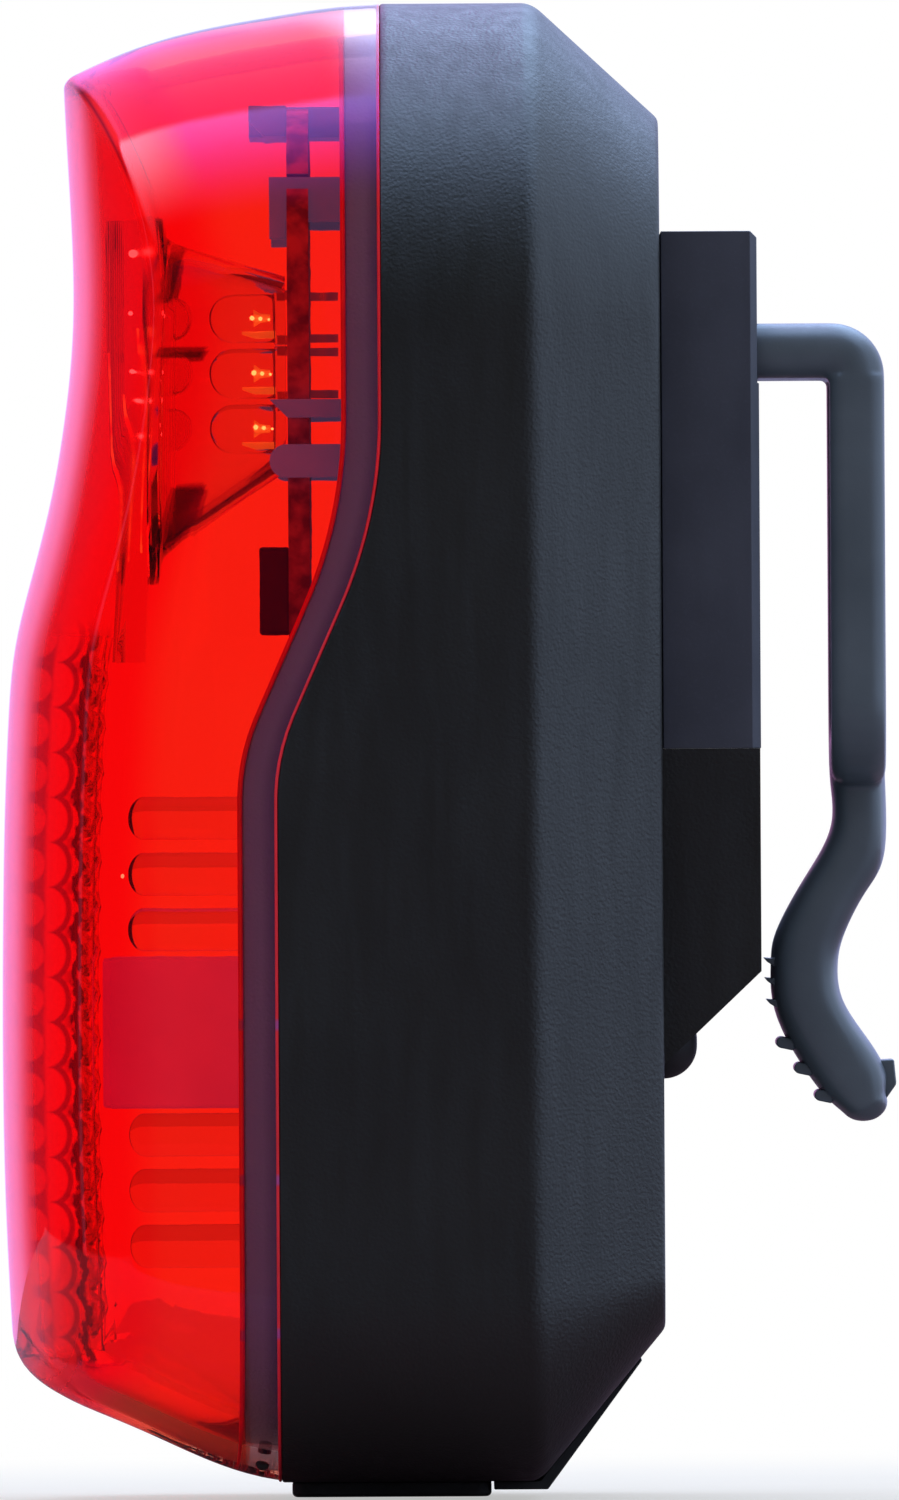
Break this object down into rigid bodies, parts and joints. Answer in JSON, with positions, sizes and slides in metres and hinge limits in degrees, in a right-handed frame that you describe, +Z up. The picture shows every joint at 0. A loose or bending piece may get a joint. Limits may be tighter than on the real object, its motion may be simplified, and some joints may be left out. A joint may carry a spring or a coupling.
{
  "type": "clip-on bicycle rear light",
  "caption": "Upright clip-on rear light: red clear lens with reflex pins, black housing, and a removable sprung clip.",
  "frame": {"origin": "on the strap face at the back of the clip bracket, on the centre plane, level with the seam between the bracket and the stop block", "axes": "+X backwards from the strap face towards the clip (the lens faces -X), +Y across, +Z up"},
  "size_m": [0.054, 0.042, 0.0901],
  "materials": {
    "black_case": "fine-grained moulded plastic, satin",
    "dark_case": "smooth moulded plastic, satin",
    "clip_grey": "smooth tough plastic, slightly glossy",
    "red_lens": "clear red moulded plastic, polished",
    "red_reflex": "clear red plastic with reflex pins",
    "clear_optic": "clear moulded plastic, polished",
    "clear_lamp": "clear cast resin",
    "lamp_white": "small white lamp bodies",
    "baffle_grey": "pale moulded plastic, satin",
    "board_green": "glass-fibre board under solder mask",
    "chip_black": "moulded component plastic",
    "capacitor_tan": "ceramic capacitor bodies",
    "tinned_steel": "tinned or plated steel",
    "foil_cell": "laminated foil pouch, satin",
    "foam_pad": "thin foam tape",
    "lead_red": "insulated leads",
    "ribbon_white": "flat ribbon cable",
    "soft_black": "soft moulded rubber, matte"
  },
  "bodies": {
    "light": {"housing": "black_case", "lens": "red_lens", "reflex_reflector": "red_reflex", "window_optic": "clear_optic", "reflector_bowl": "clear_optic", "led_top": "clear_lamp", "led_middle": "clear_lamp", "led_bottom": "clear_lamp", "led_leads": "tinned_steel", "light_guide_upper": "clear_optic", "light_guide_lower": "clear_optic", "chip_lamps_upper": "lamp_white", "chip_lamps_lower": "lamp_white", "centre_baffle": "baffle_grey", "circuit_board": "board_green", "board_carrier": "black_case", "carrier_screws": "tinned_steel", "power_coil": "chip_black", "driver_chip": "chip_black", "capacitors": "capacitor_tan", "charging_socket": "tinned_steel", "socket_tongue": "chip_black", "battery_cell": "foil_cell", "battery_pad": "foam_pad", "battery_leads": "lead_red", "switch_board": "board_green", "switch_screws": "tinned_steel", "tact_switch": "chip_black", "ribbon": "ribbon_white", "flap_anchor": "soft_black"},
    "bracket": {"clip_bracket": "dark_case"},
    "clip": {"clip_arm": "clip_grey"},
    "tongue": {"release_tongue": "dark_case"},
    "button": {"power_button": "soft_black", "switch_plunger": "chip_black"},
    "flap": {"port_flap": "soft_black"}
  },
  "joints": [
    {"name": "bracket_slide", "type": "slide", "parent": "light", "child": "bracket", "axis": [0, 0, 1], "range_m": [0, 0.032]},
    {"name": "clip_spring", "type": "hinge", "parent": "bracket", "child": "clip", "pos_m": [0.00177, 0, 0.0239], "axis": [0, -1, 0], "range_deg": [0, 12], "stiffness_Nm_per_rad": 1},
    {"name": "tongue_spring", "type": "hinge", "parent": "bracket", "child": "tongue", "pos_m": [-0.00065, 0, 0.01805], "axis": [0, -1, 0], "range_deg": [0, 6], "stiffness_Nm_per_rad": 0.3},
    {"name": "button_press", "type": "slide", "parent": "light", "child": "button", "axis": [-1, 0, 0], "range_m": [0, 0.0004], "stiffness_N_per_m": 4000},
    {"name": "flap_hinge", "type": "hinge", "parent": "light", "child": "flap", "pos_m": [-0.01645, 0, -0.04495], "axis": [0, -1, 0], "range_deg": [0, 100], "stiffness_Nm_per_rad": 0.006}
  ]
}
